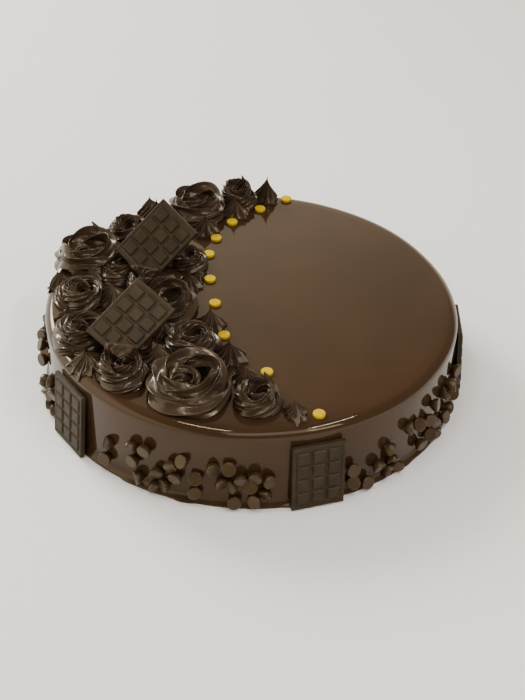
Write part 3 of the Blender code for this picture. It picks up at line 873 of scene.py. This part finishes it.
def glaze_material():
    """Mirror glaze: deep red-brown with faint clouds, and a clear wet surface."""
    return mottled("mirror glaze", specular=0.35, tint=(1.0, 0.80, 0.58),
                   colours=((0.030, 0.0155, 0.0075), (0.037, 0.0195, 0.0095)),
                   spread=(0.35, 0.65), clouds=(14, 2),
                   roughness=(0.045, 0.075), sheen=(60, 2),
                   grain=(26, 1), depth=0.05 * MM)


def cream_material():
    """Chocolate cream: dark, glossy on its ridges, with a fine uneven grain."""
    return mottled("piped chocolate cream", specular=0.42, tint=(1.0, 0.84, 0.62),
                   colours=((0.032, 0.0205, 0.0125), (0.047, 0.0295, 0.018)),
                   spread=(0.35, 0.68), clouds=(45, 3),
                   roughness=(0.17, 0.27), sheen=(240, 3),
                   grain=(420, 2), depth=0.05 * MM)


def plaque_material():
    """Moulded chocolate: satin, with faint pale bloom and tiny pits."""
    return mottled("moulded chocolate", specular=0.20, tint=(1.0, 0.86, 0.66),
                   colours=((0.025, 0.0175, 0.0105), (0.037, 0.0255, 0.0145)),
                   spread=(0.40, 0.72), clouds=(110, 5),
                   roughness=(0.40, 0.55), sheen=(300, 3),
                   grain=(700, 3), depth=0.03 * MM)


def chip_material():
    """Chocolate chips: satin, in the browns of the glaze."""
    return mottled("chocolate chips", specular=0.50, tint=(1.0, 0.78, 0.52),
                   colours=((0.026, 0.015, 0.0065), (0.041, 0.0235, 0.011)),
                   spread=(0.35, 0.68), clouds=(90, 4),
                   roughness=(0.28, 0.46), sheen=(260, 3),
                   grain=(520, 2), depth=0.04 * MM)


def confetti_material():
    """Yellow sugar: dense, slightly chalky, with a grain of sugar."""
    return mottled("yellow sugar", specular=0.02, tint=(1.0, 0.75, 0.1),
                   colours=((0.47, 0.305, 0.0), (0.55, 0.36, 0.0)),
                   spread=(0.3, 0.7), clouds=(500, 3),
                   roughness=(0.40, 0.60), sheen=(900, 2),
                   grain=(1600, 2), depth=0.05 * MM)


def floor_material():
    """A pale matt floor with very faint clouds."""
    material, tree, shader, place = new_material("pale floor")
    clouds = noise(tree, place, 3, 2)
    colour = colour_between(tree, clouds, 0.3, 0.7, (0.82, 0.81, 0.79), (0.84, 0.83, 0.81))
    tree.links.new(colour, shader.inputs["Base Color"])
    shader.inputs["Roughness"].default_value = 0.85
    return material


# ---- floor, light and camera -----------------------------------------------------

def add_floor(material):
    """A plain square floor just under the cake."""
    mesh = bpy.data.meshes.new("floor")
    corners = [(FLOOR_REACH * x, FLOOR_REACH * y, -FLOOR_DROP)
               for x, y in ((-1, -1), (1, -1), (1, 1), (-1, 1))]
    mesh.from_pydata(corners, [], [(0, 1, 2, 3)])
    mesh.materials.append(material)
    item = bpy.data.objects.new("floor", mesh)
    bpy.context.scene.collection.objects.link(item)


def add_lights():
    """Soft lights behind on the left and in front, two strips overhead and a small one."""
    for name, (place, aim, sides, power, colour) in LIGHTS.items():
        data = bpy.data.lights.new(name, "AREA")
        data.shape = "RECTANGLE"
        data.size, data.size_y = sides
        data.energy = power
        data.color = colour
        item = bpy.data.objects.new(name, data)
        item.location = place
        item.rotation_mode = "QUATERNION"
        item.rotation_quaternion = (Vector(aim) - Vector(place)).to_track_quat("-Z", "Y")
        bpy.context.scene.collection.objects.link(item)


def add_room():
    """A dim room, brightest low down behind on the left, where the glazed top mirrors it."""
    world = bpy.data.worlds.new("room")
    bpy.context.scene.world = world
    world.use_nodes = True
    tree = world.node_tree
    background = tree.nodes["Background"]
    place = tree.nodes.new("ShaderNodeTexCoord")
    towards = tree.nodes.new("ShaderNodeVectorMath")
    towards.operation = "DOT_PRODUCT"
    towards.inputs[1].default_value = Vector(ROOM_BRIGHT_WAY).normalized()
    tree.links.new(place.outputs["Generated"], towards.inputs[0])
    spread = map_range(tree, towards.outputs["Value"], *ROOM_FADE, 0.0, 1.0)
    colour = colour_between(tree, spread, 0.0, 1.0, ROOM_DIM, ROOM_BRIGHT)
    tree.links.new(colour, background.inputs["Color"])
    background.inputs["Strength"].default_value = 1.0


def add_camera():
    """The photograph's camera: its place, its three axes and its lens."""
    data = bpy.data.cameras.new("camera")
    data.sensor_width = CAMERA_SENSOR
    data.lens = CAMERA_LENS
    data.clip_start = 10 * MM
    item = bpy.data.objects.new("camera", data)
    made = Matrix((CAMERA_RIGHT, CAMERA_UP, CAMERA_BACK)).transposed().to_4x4()
    made.translation = CAMERA_PLACE
    item.matrix_world = made
    bpy.context.scene.collection.objects.link(item)
    bpy.context.scene.camera = item


def main():
    """Make every piece, then the floor, the light and the camera."""
    cake_piece(glaze_material())
    chips_piece(chip_material())
    confetti_piece(confetti_material())
    plaque_pieces(plaque_material())
    piping_pieces(cream_material())
    add_floor(floor_material())
    add_lights()
    add_room()
    add_camera()


main()
